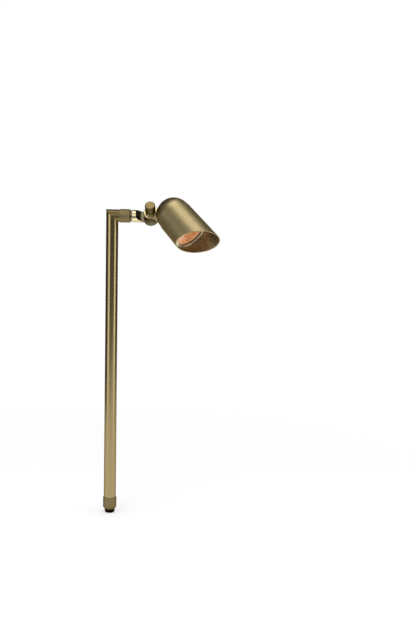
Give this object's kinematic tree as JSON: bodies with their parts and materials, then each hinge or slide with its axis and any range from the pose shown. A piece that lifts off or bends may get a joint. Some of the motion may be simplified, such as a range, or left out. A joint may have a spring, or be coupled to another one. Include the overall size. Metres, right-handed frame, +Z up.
{
  "type": "garden spike spotlight",
  "caption": "Bullet-shaped garden spotlight with an obliquely cut glare hood, on a locking disc knuckle at the end of a mitred tube stem with a threaded foot.",
  "frame": {"origin": "on the stem's axis, in the seat of the base collar where the male thread leaves it", "axes": "+Z up along the stem, +X along the arm towards the head, +Y to the back"},
  "size_m": [0.1825, 0.0873, 0.5149],
  "materials": {
    "stem_brass": "antiqued brass, fine lengthwise brushing",
    "collar_brass": "antiqued brass, turned",
    "thread_brass": "brass thread, oxidised near black",
    "knuckle_brass": "antiqued brass, milled and turned",
    "knob_brass": "antiqued brass, worn paler on its face",
    "head_brass": "antiqued brass, fine brushing round the barrel",
    "screw_steel": "stainless steel",
    "rubber": "black nitrile rubber",
    "gasket": "translucent grey silicone",
    "lens_glass": "clear tempered glass",
    "dichroic": "dichroic reflector, warm back light",
    "quartz": "clear quartz",
    "ceramic": "unglazed steatite"
  },
  "bodies": {
    "stem": {"stem_tube": "stem_brass", "arm_tube": "stem_brass", "base_collar": "collar_brass", "base_nipple": "thread_brass", "arm_collar": "collar_brass", "swivel_screw": "screw_steel"},
    "knuckle": {"knuckle_stem": "knuckle_brass", "knuckle_seal": "rubber"},
    "washer": {"lock_washer": "screw_steel"},
    "knob": {"lock_knob": "knob_brass", "lock_stud": "screw_steel"},
    "head": {"rear_cap": "head_brass", "hood_seal": "rubber", "lamp_reflector": "dichroic", "lamp_burner": "quartz", "lamp_base": "ceramic", "lamp_pins": "screw_steel", "lamp_socket": "ceramic", "socket_plate": "screw_steel", "socket_screws": "screw_steel"},
    "lens_pack": {"lens": "lens_glass", "lens_gasket": "gasket", "lens_ring": "knob_brass"},
    "hood": {"hood": "head_brass"}
  },
  "joints": [
    {"name": "arm_swivel", "type": "hinge", "parent": "stem", "child": "knuckle", "pos_m": [0, 0, 0.4762], "axis": [1, 0, 0], "range_deg": [-170, 170]},
    {"name": "head_tilt", "type": "hinge", "parent": "knuckle", "child": "head", "pos_m": [0.0605, 0, 0.4762], "axis": [0, -0.6561, 0.7547], "range_deg": [-60, 100]},
    {"name": "knob_travel", "type": "slide", "parent": "knuckle", "child": "washer", "axis": [0, -0.6561, 0.7547], "range_m": [0, 0.0025]},
    {"name": "knob_turn", "type": "hinge", "parent": "washer", "child": "knob", "pos_m": [0.0605, 0, 0.4762], "axis": [0, -0.6561, 0.7547], "range_deg": [0, 720]},
    {"name": "hood_pull", "type": "slide", "parent": "head", "child": "lens_pack", "axis": [0.6157, -0.5947, -0.517], "range_m": [0, 0.012]},
    {"name": "hood_turn", "type": "hinge", "parent": "lens_pack", "child": "hood", "pos_m": [0.0969, -0.00806, 0.48178], "axis": [0.6157, -0.5947, -0.517], "continuous": true}
  ],
  "couplings": [
    {"joint": "knob_turn", "follows": "knob_travel", "rad_per_m": 5026.5}
  ]
}
